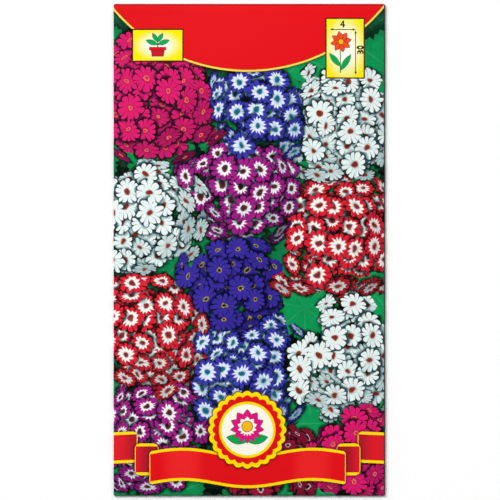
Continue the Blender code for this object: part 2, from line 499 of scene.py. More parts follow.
def stack_florets(place):
    """The topmost floret at each place, out of two neighbours and a lower layer, with its shade."""
    paint = place.paint
    one, one_chance = paint.cells(place, *TOP_LATTICE)
    two, two_chance = paint.cells(place, *TOP_LATTICE, "F2")
    one_size = one_chance.split()[0]
    swap = two_chance.split()[0] > one_size
    top = floret(place, paint.choose(swap, one, two), paint.choose(swap, one_chance, two_chance))
    low = floret(place, paint.choose(swap, two, one), paint.choose(swap, two_chance, one_chance))
    under = floret(place, *paint.cells(place, *UNDER_LATTICE))

    low_halo, under_halo = top["halo"], top["halo"].highest(low["halo"])
    low_shade = 1.0 - low_halo * low_halo * SHADOW_DEPTH
    under_shade = (1.0 - under_halo * under_halo * SHADOW_DEPTH) * UNDER_BRIGHTNESS
    covered = top["covers"].highest(low["covers"])
    seen = {}
    for part in ("spot", "tilt", "chance"):
        lower = paint.choose(low["covers"], under[part], low[part])
        seen[part] = paint.choose(top["covers"], lower, top[part])
    lower_shade = under_shade + (low_shade - under_shade) * low["covers"]
    seen["shade"] = lower_shade + (1.0 - lower_shade) * top["covers"]
    seen["covers"] = covered.highest(under["covers"])
    seen["halo"] = top["halo"].highest(low["halo"]).highest(under["halo"])
    return seen


def strain_inks(part):
    """One ink of every dome's strain, in the order of the domes."""
    return [ink(STRAINS[strain][part]) for *_, strain in DOMES]


def paint_florets(place, ground):
    """Petals, eyes and shade of the florets over the leaves."""
    paint = place.paint
    seen = stack_florets(place)
    reach, across, dome = seen["spot"].split()
    size, petal, angle = seen["chance"].split()
    habits = [(*STRAINS[strain][HABIT], 1.0) for *_, strain in DOMES]
    base_reach, gap_depth, eye_width = paint.steps(dome, habits).split()

    streak_place = paint.vector(angle * STREAKS_ROUND + size * STREAK_STEP, reach * STREAKS_ALONG)
    streak = paint.noise(streak_place, 1.0)
    ring = base_reach * (RING_REACH - across * RING_DROOP) + (streak - 0.5) * RING_STRAY
    beyond_ring = reach.rise(ring - RING_SOFTNESS, ring + RING_SOFTNESS)
    tip, base, eye, rim = [paint.steps(dome, strain_inks(part)) for part in (TIP, BASE, EYE, RIM)]
    colour = paint.mix(beyond_ring, base, tip)

    gap = across.rise(*GAP_ACROSS) * reach.rise(*GAP_ALONG)
    brightness = 1.0 - gap * gap_depth
    for chance, tone in ((petal, PETAL_TONE), (streak, STREAK_TONE), (size, SIZE_TONE)):
        brightness = brightness * chance.grade(*tone)
    brightness = brightness * (1.0 - reach.rise(*CUP) * CUP_DEPTH)
    x, y, _ = seen["tilt"].split()
    slope = x * LIGHT_FROM[0] + y * LIGHT_FROM[1]
    steepness = seen["tilt"].dot(seen["tilt"])
    brightness = brightness * (1.0 + slope * SLOPE_LIGHT - steepness * STEEP_SHADE) * seen["shade"]
    brightness = brightness.lowest(1.0)
    colour = colour * paint.vector(brightness**RED_POWER, brightness, brightness**BLUE_POWER)

    eye_reach = reach / eye_width
    flecks = eye_reach.rise(*EYE_RIM) * streak.rise(*EYE_FLECKS)
    eye = paint.mix(flecks, eye, rim)
    eye = paint.shade(eye, seen["shade"] * streak.grade(*EYE_TONE))
    colour = paint.mix(eye_reach < 1.0, colour, eye)
    ground = paint.shade(ground, 1.0 - seen["halo"] * GROUND_SHADOW_DEPTH)
    return paint.mix(seen["covers"], ground, colour)


DARK_GREEN = ink("02140D")
SHADE_GREEN = ink("0A3322")
VEIN_GREEN = ink("6CC890")
GROUND_PITCH = 3.0

# Two layers of leaves: the pitch, where the lattice starts, the radius, the light and the dark ink
LOW_LEAVES = (13.0, (40.0, 17.0), 8.0, ink("0B6B42"), ink("07472E"))
TOP_LEAVES = (19.0, (11.0, 63.0), 11.0, ink("08A45C"), ink("068049"))

# One leaf: how freely it strays, its size, its lobes and teeth and their depths, and its veins
LEAF_SPREAD = 0.8
LEAF_SIZE = (0.75, 0.35)
LOBES = 7.0
LOBE_DEPTH = 0.16
TEETH = 35.0
TOOTH_DEPTH = 0.07
SIDE_VEINS = 5.0
SIDE_VEIN_SLANT = 1.6
VEIN_WIDTH = 0.12
SIDE_VEIN_WIDTH = 0.14
VEIN_PALENESS = 0.20
LEAF_MOTTLE_PITCH = 2.4
LEAF_MOTTLE = 0.25
LEAF_RIM_SHADE = 0.25
LEAF_SHADOW = (1.25, 0.95)
LEAF_SHADOW_DEPTH = 0.75


def leaf_layer(place, pitch, shift, radius, light, dark, below):
    """Round lobed leaves with veins, strewn over what is below them."""
    paint = place.paint
    centre, chance = paint.cells(place, pitch, shift, LEAF_SPREAD)
    size, turn, tone = chance.split()
    offset = place - centre
    angle = offset.heading() * (1 / math.tau) + turn
    reach = offset.length() / (size.grade(*LEAF_SIZE) * radius)
    lobe = (angle * LOBES).zigzag()
    tooth = (angle * TEETH).zigzag()
    edge = 1.0 - lobe * lobe * LOBE_DEPTH - tooth * TOOTH_DEPTH
    vein = lobe.rise(VEIN_WIDTH, 0.0) * reach.rise(1.0, 0.5)
    side_vein = (reach * SIDE_VEINS - lobe * SIDE_VEIN_SLANT).zigzag().rise(SIDE_VEIN_WIDTH, 0.0)
    mottle = paint.noise(place, LEAF_MOTTLE_PITCH) * LEAF_MOTTLE
    colour = paint.mix(tone, dark, light)
    colour = paint.shade(colour, 1.0 - reach.rise(0.6, 1.0) * LEAF_RIM_SHADE - mottle)
    colour = paint.mix(vein.highest(side_vein * 0.5) * VEIN_PALENESS, colour, VEIN_GREEN)
    below = paint.shade(below, 1.0 - reach.rise(*LEAF_SHADOW) * LEAF_SHADOW_DEPTH)
    return paint.mix(reach < edge, below, colour)


def paint_leaves(place):
    """Leaves in two layers over a dark ground."""
    paint = place.paint
    ground = paint.mix(paint.noise(place, GROUND_PITCH), DARK_GREEN, SHADE_GREEN)
    lower = leaf_layer(place, *LOW_LEAVES, ground)
    return leaf_layer(place, *TOP_LEAVES, lower)


# The width of the dark line round a small shape, and how narrow and how open a numeral's bow is
THIN_LINE = 0.10
LINE = 0.12
BOW_NARROWING = 0.68
BOW_OPENING = 0.55

# Small printed shapes. Each gives a distance in millimetres, which is under 0 inside the shape.


def disc(place, centre, radius):
    """A round shape."""
    return (place - (*centre, 0.0)).length() - radius


def block(place, centre, size):
    """An upright oblong."""
    x, y, _ = (place - (*centre, 0.0)).vector("ABSOLUTE").split()
    return (x - size[0] / 2).highest(y - size[1] / 2)


def stroke(place, start, end, width):
    """A round-ended line."""
    run = Vector(end) - Vector(start)
    offset = place - (*start, 0.0)
    along = offset.dot((run.x, run.y, 0.0)) * (1 / run.length_squared)
    along = along.highest(0.0).lowest(1.0)
    nearest = along.paint.vector(along * run.x, along * run.y)
    return (offset - nearest).length() - width / 2


def blade(place, base, tip, width):
    """A leaf or petal, pointed at both ends."""
    run = Vector(tip) - Vector(base)
    offset = place - (*base, 0.0)
    along = offset.dot((run.x, run.y, 0.0)) * (1 / run.length_squared)
    aside = abs(offset.dot((-run.y, run.x, 0.0)) * (1 / run.length))
    return aside - along * (1.0 - along) * (2 * width)


def bow(place, centre, radius, width):
    """An oval ring, wider than it is high, that is left open on its left side."""
    offset = (place - (*centre, 0.0)) * (BOW_NARROWING, 1.0, 0.0)
    ring = abs(offset.length() - radius) - width / 2
    opening = -offset.split()[0] - radius * BOW_OPENING
    return ring.highest(opening)


def overlay(colour, distance, over):
    """Prints a shape over what is there."""
    return distance.paint.mix(distance < 0.0, colour, over)


def outlined(colour, distance, over, line):
    """Prints a shape with a dark line of a width round it."""
    colour = distance.paint.mix(distance < line, colour, OUTLINE)
    return overlay(colour, distance, over)


def shadowed(colour, distance, reach, depth):
    """Prints a soft shadow round a shape."""
    return distance.paint.shade(colour, 1.0 - distance.rise(reach, 0.0) * depth)


ARC_CENTRE = (-0.5, 104.3)
ARC_RADIUS = 51.7
ARC_LINE = 0.56
ARC_SHADOW = (1.5, 0.65)


def print_header(place, colour):
    """A red field with a hanging round edge, a yellow line along it and a soft shadow below."""
    beyond = disc(place, ARC_CENTRE, ARC_RADIUS)
    colour = shadowed(colour, beyond, *ARC_SHADOW)
    colour = overlay(colour, beyond, RED)
    return outlined(colour, abs(beyond) - ARC_LINE / 2, LINE_YELLOW, THIN_LINE)


# A card is white for this share of the way out to its edge, and yellow from its fade on.
CARD_WHITE_REACH = 0.25
CARD_FRAME = 0.38


def print_card(place, colour, centre, size, fade):
    """A yellow card that fades to white in its middle, in a thin dark frame."""
    distance = block(place, centre, size)
    offset = (place - (*centre, 0.0)) * (2 / size[0], 2 / size[1], 0.0)
    yellow = offset.length().rise(CARD_WHITE_REACH, fade)
    field = place.paint.mix(yellow, CARD_WHITE, CARD_YELLOW)
    return outlined(colour, distance, field, CARD_FRAME)


LABEL_CARD = {"centre": (-26.95, 60.2), "size": (14.5, 9.0), "fade": 1.05}
# The seedling: the ends and width of its stem, and of each leaf
SEEDLING_STEM = ((0.0, -1.0), (0.0, 1.6), 0.34)
SEEDLING_LEAVES = (
    ((0.0, 0.2), (-3.4, 1.5), 1.3),
    ((0.0, 0.2), (3.4, 1.5), 1.3),
    ((0.0, 1.0), (-1.5, 3.5), 1.1),
    ((0.0, 1.0), (1.5, 3.5), 1.1),
)
# Its pot: the middle and size, how much wider it is upwards and all round, and its rim
POT = ((0.0, -2.25), (3.6, 2.3))
POT_FLARE = 0.14
POT_SWELL = 0.3
POT_RIM = ((0.0, -1.0), (4.8, 0.75))


def print_label_card(place, colour):
    """A card with a potted seedling."""
    colour = print_card(place, colour, **LABEL_CARD)
    at = place - (*LABEL_CARD["centre"], 0.0)
    colour = overlay(colour, stroke(at, *SEEDLING_STEM), STEM_GREEN)
    for leaf in SEEDLING_LEAVES:
        colour = outlined(colour, blade(at, *leaf), LEAF_GREEN, LINE)
    pot = block(at, *POT) - at.split()[1] * POT_FLARE - POT_SWELL
    colour = outlined(colour, pot, DEEP_RED, LINE)
    return outlined(colour, block(at, *POT_RIM), RED, LINE)


# Numerals as shares of their height: the line's weight, the ends of a 4's strokes, the middle and
# radius of a 3's bows, and an oval 0's middle, radius and narrowing
NUMERAL_WEIGHT = 0.20
FOUR = (((0.46, 0.0), (0.46, 1.0)), ((0.46, 1.0), (0.0, 0.34)), ((0.0, 0.34), (0.66, 0.34)))
THREE = (((0.24, 0.72), 0.20), ((0.24, 0.28), 0.22))
ZERO = ((0.32, 0.5), 0.24, 0.56)


def print_numeral(at, colour, numeral, corner, height):
    """One plain numeral, 3, 4 or 0, with its lower left corner at a place."""

    def spot(share):
        return corner[0] + height * share[0], corner[1] + height * share[1]

    width = height * NUMERAL_WEIGHT
    if numeral == "4":
        lines = [stroke(at, spot(start), spot(end), width) for start, end in FOUR]
    elif numeral == "3":
        lines = [bow(at, spot(middle), height * radius, width) for middle, radius in THREE]
    else:
        middle, radius, narrowing = ZERO
        offset = (at - (*spot(middle), 0.0)) * (1.0, narrowing, 0.0)
        lines = [abs(offset.length() - height * radius) - width / 2]
    for line in lines:
        colour = overlay(colour, line, NUMERAL_INK)
    return colour


ARROW_LINE = 0.24
ARROW_HEAD = (0.9, 0.55)


def print_arrow(at, colour, start, end):
    """A dimension line with a head at either end."""
    length, width = ARROW_HEAD
    run = (Vector(end) - Vector(start)).normalized() * length
    colour = overlay(colour, stroke(at, start, end, ARROW_LINE), OUTLINE)
    for point, back in ((start, run), (end, -run)):
        head = blade(at, point, tuple(Vector(point) + back), width)
        colour = overlay(colour, head, OUTLINE)
    return colour


SIZE_CARD = {"centre": (28.2, 59.35), "size": (10.9, 17.25), "fade": 1.22}
# The flower on the size card: the ends and width of its stem, and of its leaves
FLOWER_STEM = ((-1.4, -7.2), (-1.4, 1.4), 0.30)
FLOWER_LEAVES = (((-1.4, -6.6), (1.7, -1.9), 1.5), ((-1.4, -5.4), (-4.6, -1.6), 1.5))
# Its head: the middle, and the number, length and width of its petals, and its eye's radius
FLOWER_MIDDLE = (-1.2, 1.9)
FLOWER_PETALS = (8, 3.1, 1.5)
FLOWER_EYE = 0.75
# The two dimension lines' ends, and each numeral's corner and height. The height is read sideways.
WIDTH_ARROW = ((-4.2, 5.5), (2.9, 5.5))
HEIGHT_ARROW = ((3.1, -7.6), (3.1, 5.0))
WIDTH_NUMERAL = ("4", (-1.3, 6.2), 1.8)
HEIGHT_NUMERALS = (("3", (-1.75, -5.35), 1.75), ("0", (-0.35, -5.35), 1.75))


def print_size_card(place, colour):
    """A card with a flower, its width and its height as plain numbers."""
    colour = print_card(place, colour, **SIZE_CARD)
    at = place - (*SIZE_CARD["centre"], 0.0)
    colour = overlay(colour, stroke(at, *FLOWER_STEM), STEM_GREEN)
    for leaf in FLOWER_LEAVES:
        colour = outlined(colour, blade(at, *leaf), LEAF_GREEN, THIN_LINE)
    x, y = FLOWER_MIDDLE
    petals, length, width = FLOWER_PETALS
    for number in range(petals):
        turn = math.tau * (number + 0.25) / petals
        tip = (x + length * math.cos(turn), y + length * math.sin(turn))
        colour = outlined(colour, blade(at, (x, y), tip, width), ORANGE, LINE)
    colour = outlined(colour, disc(at, FLOWER_MIDDLE, FLOWER_EYE), GOLD, LINE)
    for arrow in (WIDTH_ARROW, HEIGHT_ARROW):
        colour = print_arrow(at, colour, *arrow)
    colour = print_numeral(at, colour, *WIDTH_NUMERAL)
    sockets = {"Vector": at, "Angle": -math.pi / 2}
    turned = place.paint.node("ShaderNodeVectorRotate", {"rotation_type": "Z_AXIS"}, sockets)
    for numeral in HEIGHT_NUMERALS:
        colour = print_numeral(turned, colour, *numeral)
    return colour


RIBBON_CENTRE = -0.5
RIBBON_SHADOW = (0.9, 0.5)
# How far the yellow shows at a stretch's ends and along its sides
RIBBON_EDGES = (0.22, 0.85)
# Each stretch's half width, half height and corner, and how far aside and down its middle is
TAIL = (7.3, 4.6, 1.6)
TAIL_PLACE = (39.7, 58.2)
FOLD = (3.5, 4.7, 1.6)
FOLD_PLACE = (29.7, 61.7)
MIDDLE = (28.9, 4.9, 0.9)
MIDDLE_DROP = 64.2
# From here outwards, the tails drop by this much.
TAIL_PIVOT = 36.0
TAIL_SLOPE = 0.05
# Between which two places aside a stretch turns from shade to light, and its two inks
TAIL_SHADE = (33.0, 37.5, ink("B0182A"), ink("DC1C2A"))
FOLD_SHADE = (29.0, 33.5, ink("A81628"), ink("E01C28"))
# How often the middle waves and how high, and how it shines where it is low
WAVES = 0.165
WAVE_HEIGHT = 1.1
SHINE = (-0.4, -1.0)
SHINE_DEPTH = 0.5
SHINY_RED = ink("FA3030")


def print_stretch(colour, across, rise, half_width, half_height, corner, face):
    """A stretch of ribbon with round corners and yellow edges, over its shadow."""
    inner = across.paint.vector(across - (half_width - corner), rise - (half_height - corner))
    distance = inner.vector("MAXIMUM", (0.0, 0.0, 0.0)).length() - corner
    colour = shadowed(colour, distance, *RIBBON_SHADOW)
    colour = overlay(colour, distance, YELLOW)
    end, edge = RIBBON_EDGES
    inside = (across - (half_width - end)).highest(rise - (half_height - edge))
    return overlay(colour, inside, face)


def shaded_face(aside, inner, outer, dark, light):
    """A stretch's own colour, which turns lighter outwards."""
    return aside.paint.mix(aside.rise(inner, outer), dark, light)


def print_ribbon(place, colour):
    """A bare ribbon across the bottom: two tails, their turned folds and a waving middle."""
    x, y, _ = (place - (RIBBON_CENTRE, 0.0, 0.0)).split()
    aside = abs(x)
    across, drop = TAIL_PLACE
    level = y + drop + (aside - TAIL_PIVOT) * TAIL_SLOPE
    face = shaded_face(aside, *TAIL_SHADE)
    colour = print_stretch(colour, abs(aside - across), abs(level), *TAIL, face)
    across, drop = FOLD_PLACE
    face = shaded_face(aside, *FOLD_SHADE)
    colour = print_stretch(colour, abs(aside - across), abs(y + drop), *FOLD, face)
    wave = (x * WAVES).math("COSINE")
    level = y + MIDDLE_DROP + wave * WAVE_HEIGHT
    face = place.paint.mix(wave.rise(*SHINE) * SHINE_DEPTH, RED, SHINY_RED)
    return print_stretch(colour, aside, abs(level), *MIDDLE, face)


BADGE_CENTRE = (-0.6, -52.9)
BADGE_RADIUS = 10.8
BADGE_SHADOW = (1.2, 0.5)
SCALLOPS = 12.0
SCALLOP_HEIGHT = 0.7
# The widths of the yellow scallops and of the outline, and the rings inside the red field
SCALLOP_EDGE = 1.3
BADGE_LINE = 0.25
BADGE_RINGS = ((8.3, YELLOW), (7.5, CREAM))
# A leaf to the right: its ends and width, and its outline
BADGE_LEAF = ((0.0, -3.4), (6.0, -2.2), 2.6)
BADGE_LEAF_LINE = 0.15
# The daisy: its middle and number of petals, the radius and how deep the petals are cut, the same
# for the pale heart inside, the eye's radius and the outline
DAISY_MIDDLE = (0.0, 1.0)
DAISY_PETALS = 12
DAISY = (4.9, 1.3)
DAISY_HEART = (2.9, 0.8)
DAISY_EYE = 1.5
DAISY_LINE = 0.18


def print_badge(place, colour):
    """A scalloped rosette with a daisy on two leaves."""
    at = place - (*BADGE_CENTRE, 0.0)
    angle = at.heading()
    scallop = abs((angle * SCALLOPS).math("COSINE")) * SCALLOP_HEIGHT
    distance = at.length() - BADGE_RADIUS - scallop
    colour = shadowed(colour, distance, *BADGE_SHADOW)
    colour = outlined(colour, distance, YELLOW, BADGE_LINE)
    colour = overlay(colour, distance + SCALLOP_EDGE, RED)
    for radius, tint in BADGE_RINGS:
        colour = overlay(colour, disc(at, (0.0, 0.0), radius), tint)
    base, (tip_x, tip_y), width = BADGE_LEAF
    for side in (-1, 1):
        leaf = blade(at, base, (side * tip_x, tip_y), width)
        colour = outlined(colour, leaf, LEAF_GREEN, BADGE_LEAF_LINE)
    petal = (angle * (DAISY_PETALS / math.tau)).zigzag()
    radius, cut = DAISY
    colour = outlined(colour, disc(at, DAISY_MIDDLE, radius) + petal * cut, PINK, DAISY_LINE)
    radius, cut = DAISY_HEART
    colour = overlay(colour, disc(at, DAISY_MIDDLE, radius) + petal * cut, CREAM)
    return outlined(colour, disc(at, DAISY_MIDDLE, DAISY_EYE), GOLD, DAISY_LINE)


# How much darker the painted shade makes the left, the bottom and the top fold, and where that
# band and the near-black painted shade on the right begin and end, in millimetres past the fold line
PAINTED_FOLD_DEPTHS = (0.10, 0.20, 0.50)
PAINTED_FOLD_BAND = ((-0.45, 0.20), (1.6, 0.9))
PAINTED_EDGE_BAND = ((-0.10, 0.06), (0.55, 0.35))
EDGE_SHADE_INK = ink("141418")


def along_fold(past, stripe):
    """1 in a soft-edged stripe along a fold, and 0 beside it."""
    start, end = stripe
    return past.rise(*start) * past.rise(*end)


def paint_fold_shade(place, colour):
    """Painted shade along three folds, and near-black painted shade along the right one."""
    x, y, _ = place.split()
    side, end = HALF_WIDTH / MM, HALF_HEIGHT / MM
    # Painted shade: each fold darker towards its rounded edge, and the right one near black.
    for past, depth in zip((-x - side, -y - end, y - end), PAINTED_FOLD_DEPTHS):
        colour = place.paint.shade(colour, 1.0 - along_fold(past, PAINTED_FOLD_BAND) * depth)
    return place.paint.mix(along_fold(x - side, PAINTED_EDGE_BAND), colour, EDGE_SHADE_INK)


# The florets' outlines waver this often and by this much, as printed ones do.
PRINT_WAVER = (2.2, 0.26)


def print_front(place):
    """Everything printed on the front panel, back layer to front one, then painted shade on the folds.
    """
    leaves = paint_leaves(place)
    colour = paint_florets(place.paint.strayed(place, *PRINT_WAVER), leaves)
    colour = print_header(place, colour)
    colour = print_label_card(place, colour)
    colour = print_size_card(place, colour)
    colour = print_ribbon(place, colour)
    # Painted shade along the folds lies over the whole print.
    return paint_fold_shade(place, print_badge(place, colour))


def coated_paper(paint, colour):
    """Glossy coated paper under a print."""
    return paint.finish({"Base Color": colour, "Roughness": 0.28, "Specular IOR Level": 0.20})


def printed_front():
    """The full front print, which runs on round the folds."""
    paint = Paint(bpy.data.materials.new("printed_front"))
    return coated_paper(paint, print_front(paint.flat_sheet()))


def print_sprout(at, colour, size):
    """A seedling with two leaves on a short stem."""
    colour = overlay(colour, stroke(at, (0.0, -size), (0.0, size * 0.1), size * 0.14), STEM_GREEN)
    for side in (-1, 1):
        leaf = blade(at, (0.0, -size * 0.15), (side * size * 0.95, size * 0.75), size * 0.42)
        colour = overlay(colour, leaf, LEAF_GREEN)
    return colour


def print_daisy(at, colour, size):
    """A round daisy of nine petals, seen from the front."""
    across = (at.heading() * (9 / math.tau)).zigzag()
    colour = overlay(colour, at.length() - size + across * size * 0.35, PINK)
    return overlay(colour, at.length() - size * 0.32, GOLD)


def print_sun(at, colour, size):
    """A sun with ten rays."""
    across = (at.heading() * (10 / math.tau)).zigzag()
    rays = at.length() - size + across * size * 0.9
    colour = overlay(colour, rays.highest(size * 0.62 - at.length()), GOLD)
    return overlay(colour, at.length() - size * 0.5, GOLD)


def print_drop(at, colour, size):
    """A drop of water: a disc that runs up to a point."""
    x, y, _ = at.split()
    taper = abs(x) - (size * 0.95 - y) * 0.42
    tip = taper.highest(-y - size * 0.1)
    body = disc(at, (0.0, -size * 0.28), size * 0.57)
    return overlay(colour, body.lowest(tip), WATER_BLUE)


# The round pictures: how high they stand, their radius, the ring round them and how much of them
# the drawing fills
ICON_HEIGHT = 26.0
ICON_RADIUS = 7.0
ICON_RING = 0.5
ICON_FILL = 0.62
ICONS = ((-25.5, print_sun), (-8.5, print_drop), (8.5, print_sprout), (25.5, print_daisy))

# The calendar: a month's width, the first one's left side, the gap between months and how far to
# the left a row's picture is. Each row has its height, its months, their ink, picture and its size.
MONTH_WIDTH = 4.8
YEAR_WIDTH = 12 * MONTH_WIDTH
CALENDAR_LEFT = -25.0
MONTH_GAP = 0.7
ROW_PICTURE = 4.2
CALENDAR_ROWS = (
    (6.0, (1, 2, 3), LEAF_GREEN, print_sprout, 0.46),
    (-1.5, (6, 7, 8, 9), PINK, print_daisy, 0.5),
)

# The two rules, and two lines of hills: how far down they are, how often they rise and how high
RULES = ((0.0, 13.5), (66.0, 0.25)), ((0.0, -9.0), (66.0, 0.25))
FAR_HILLS = (40.0, 0.09, 3.0)
NEAR_HILLS = (45.0, 0.07, 3.4)
HILLS_APART = 2.1


def print_icons(place, colour):
    """Four round pictures: sun, water, seedling and flower."""
    for spot, drawing in ICONS:
        at = place - (spot, ICON_HEIGHT, 0.0)
        colour = overlay(colour, disc(at, (0.0, 0.0), ICON_RADIUS), LEAF_GREEN)
        colour = overlay(colour, disc(at, (0.0, 0.0), ICON_RADIUS - ICON_RING), CREAM)
        colour = drawing(at, colour, ICON_RADIUS * ICON_FILL)
    return colour


def print_calendar(place, colour):
    """Two rows of twelve boxes, a year, with the months for sowing and for bloom filled in."""
    x, y, _ = place.split()
    across = (x - CALENDAR_LEFT) / MONTH_WIDTH
    month = across.math("FLOOR")
    margin = abs(across.math("FRACT") - 0.5) * MONTH_WIDTH - MONTH_WIDTH / 2
    for height, months, tint, drawing, share in CALENDAR_ROWS:
        row = block(place, (CALENDAR_LEFT + YEAR_WIDTH / 2, height), (YEAR_WIDTH, MONTH_WIDTH))
        box = margin.highest(abs(y - height) - MONTH_WIDTH / 2) + MONTH_GAP / 2
        filled = abs(month - (months[0] + months[-1]) / 2) < (len(months) / 2)
        face = place.paint.mix(filled, PALE_GREEN, tint)
        colour = overlay(colour, box.highest(row), face)
        at = place - (CALENDAR_LEFT - ROW_PICTURE, height, 0.0)
        colour = drawing(at, colour, MONTH_WIDTH * share)
    return colour


def print_back(place):
    """Pictures and a calendar without words, on plain paper with a green foot."""
    colour = print_icons(place, PAPER_WHITE)
    colour = print_calendar(place, colour)
    x, y, _ = place.split()
    upper, lower = [block(place, *rule) for rule in RULES]
    colour = overlay(colour, upper.lowest(lower), LINE_GREY)
    drop, often, height = FAR_HILLS
    hills = y + drop + (x * often).math("SINE") * height
    colour = overlay(colour, hills, HILL_GREEN)
    drop, often, height = NEAR_HILLS
    hills = y + drop + (x * often + HILLS_APART).math("SINE") * height
    return overlay(colour, hills, FOOT_GREEN)


def printed_back():
    """The same coated paper on the back. Both side flaps carry their share of one layout."""
    paint = Paint(bpy.data.materials.new("printed_back"))
    x, y, _ = paint.flat_sheet().split()
    inward = (2 * HALF_WIDTH + SIDE_ARC) / MM - abs(x)
    place = paint.vector(inward * x.math("SIGN") * -1.0, y)
    on_side_flap = abs(x) > (HALF_WIDTH / MM)
    return coated_paper(paint, paint.mix(on_side_flap, FLAP_GREEN, print_back(place)))


def plain_paper(name, code, roughness):
    """Paper with nothing on it, or whatever else is dull and of one colour."""
    paint = Paint(bpy.data.materials.new(name))
    return paint.finish({"Base Color": ink(code), "Roughness": roughness})


# ================================================================ the folded sheet


def deselect():
    """Leaves no object selected, so that an operator acts on the new one alone."""
    bpy.ops.object.select_all(action="DESELECT")


def on_panel(place):
    """Whether a place on the flat sheet is on the front panel or its edge."""
    return abs(place.x) < HALF_WIDTH + NEAR and abs(place.y) < HALF_HEIGHT + NEAR


def run_out_flap(sheet, direction, panel_reach, arc, reach):
    """Extends the flat sheet from one edge of the front panel: first the fold, then the flap."""
    bpy.ops.object.mode_set(mode="EDIT")
    bpy.ops.mesh.select_mode(type="EDGE")
    bpy.ops.mesh.select_all(action="DESELECT")
    cage = bmesh.from_edit_mesh(sheet.data)
    for edge in cage.edges:
        places = [vert.co for vert in edge.verts]
        at_edge = all(place.dot(direction) > panel_reach - NEAR for place in places)
        edge.select_set(at_edge and all(on_panel(place) for place in places))
    bmesh.update_edit_mesh(sheet.data)
    columns = round(reach / GRID_PITCH)
    for step in [arc / FOLD_STEPS] * FOLD_STEPS + [reach / columns] * columns:
        bpy.ops.mesh.extrude_region_move(TRANSFORM_OT_translate={"value": direction * step})
    bpy.ops.object.mode_set(mode="OBJECT")


def cut_sheet():
    """The sheet as it is cut, flat, with its printed side up."""
    deselect()
    columns = round(2 * HALF_WIDTH / GRID_PITCH)
    rows = round(2 * HALF_HEIGHT / GRID_PITCH)
    bpy.ops.mesh.primitive_grid_add(x_subdivisions=columns, y_subdivisions=rows, size=2)
    sheet = bpy.context.object
    sheet.name = "folded_envelope"
    sheet.scale = (HALF_WIDTH, HALF_HEIGHT, 1)
    bpy.ops.object.transform_apply(location=False, rotation=False, scale=True)

    for side in (-1, 1):
        run_out_flap(sheet, Vector((side, 0, 0)), HALF_WIDTH, SIDE_ARC, SIDE_REACH)
    for side, reach in ((-1, BOTTOM_FLAP), (1, TOP_FLAP)):
        run_out_flap(sheet, Vector((0, side, 0)), HALF_HEIGHT, END_ARC, reach)
    return sheet


def taper_flaps(sheet):
    """Draws the ends of each flap in towards its free edge."""
    for vert in sheet.data.vertices:
        past_side = abs(vert.co.x) - HALF_WIDTH - SIDE_ARC
        past_end = abs(vert.co.y) - HALF_HEIGHT - END_ARC
        if past_side > 0:
            vert.co.y *= 1 - SIDE_FLAP_TAPER / HALF_HEIGHT * past_side / SIDE_REACH
        if past_end > 0:
            reach = TOP_FLAP if vert.co.y > 0 else BOTTOM_FLAP
            vert.co.x *= 1 - FLAP_TAPER / HALF_WIDTH * past_end / reach


def record_flat_places(sheet):
    """Writes each corner's place on the flat sheet to a map that the print follows."""
    flat = sheet.data.uv_layers.new(name=SHEET_MAP)
    for loop in sheet.data.loops:
        flat.data[loop.index].uv = sheet.data.vertices[loop.vertex_index].co.xy


# The envelope's slots: each print, and after it the paper's inside and its cut edge
FRONT_PRINT, BACK_PRINT = 0, 3


def choose_printed_faces(sheet):
    """The front print runs a little way on to the flaps, and over the whole top flap."""
    for face in sheet.data.polygons:
        x, y, _ = face.center
        on_front = abs(x) < HALF_WIDTH + SIDE_ARC + BLEED and y > -HALF_HEIGHT - END_ARC - BLEED
        face.material_index = FRONT_PRINT if on_front else BACK_PRINT


def smooth_rise(distance, softness):
    """0 up to no distance, 1 past the softness, and smooth between them."""
    share = min(max(distance / softness, 0.0), 1.0)
    return share * share * (3 - 2 * share)


def front_height(x, y):
    """The front panel swells over its contents, and the sachet's outline just shows in it."""
    across = 1 - (x / HALF_WIDTH) ** SWELL_ACROSS
    along = 1 - (y / HALF_HEIGHT) ** SWELL_ALONG
    inside = min(x - SACHET_LOW.x, SACHET_HIGH.x - x, y - SACHET_LOW.y, SACHET_HIGH.y - y)
    ridge = SACHET_RIDGE * smooth_rise(inside, SACHET_SOFTNESS)
    ripple = RIPPLE * noise.noise(Vector((x / RIPPLE_PITCH, y / RIPPLE_PITCH, 0.0)))
    settled = min(across, along) ** 0.5
    return RIM_HEIGHT + (BULGE - SACHET_RIDGE) * across * along + (ridge + ripple) * settled


def roll(past, edge, radius, floor):
    """Where a point lies that is this far past a fold line: out and down round it, then back under."""
    arc = math.pi * radius
    if past < arc:
        turn = past / radius
        return edge + radius * math.sin(turn), floor + radius * (1 + math.cos(turn))
    return edge - (past - arc), floor


def reach_corner(along, half_length, proud, radius, other_radius):
    """Draws the very end of a fold out along its length, to meet the other fold at the corner."""
    if abs(along) < half_length - NEAR or proud < 0:
        return along
    return along + math.copysign(1, along) * (other_radius - CORNER_GAP) * proud / radius


def fold_sheet(sheet):
    """Folds the flaps under. The left one steps up near its free edge, over the right one."""
    for vert in sheet.data.vertices:
        x, y, _ = vert.co
        if abs(x) > HALF_WIDTH + NEAR and abs(y) < HALF_HEIGHT + NEAR:
            out, z = roll(abs(x) - HALF_WIDTH, HALF_WIDTH, SIDE_FOLD, BACK_LEVEL)
            folded = math.copysign(1, x) * out
            if x < 0 and abs(x) > HALF_WIDTH + SIDE_ARC:
                z += LAYER * smooth_rise(folded + SEAM_LAP / 2 + SEAM_JOG_START, SEAM_JOG)
            y = reach_corner(y, HALF_HEIGHT, out - HALF_WIDTH, SIDE_FOLD, END_FOLD)
            vert.co = (folded, y, z)
        elif abs(y) > HALF_HEIGHT + NEAR:
            out, z = roll(abs(y) - HALF_HEIGHT, HALF_HEIGHT, END_FOLD, END_FLAP_LEVEL)
            x = reach_corner(x, HALF_WIDTH, out - HALF_HEIGHT, END_FOLD, SIDE_FOLD)
            vert.co = (x, math.copysign(1, y) * out, z)
        else:
            vert.co.z = front_height(x, y)


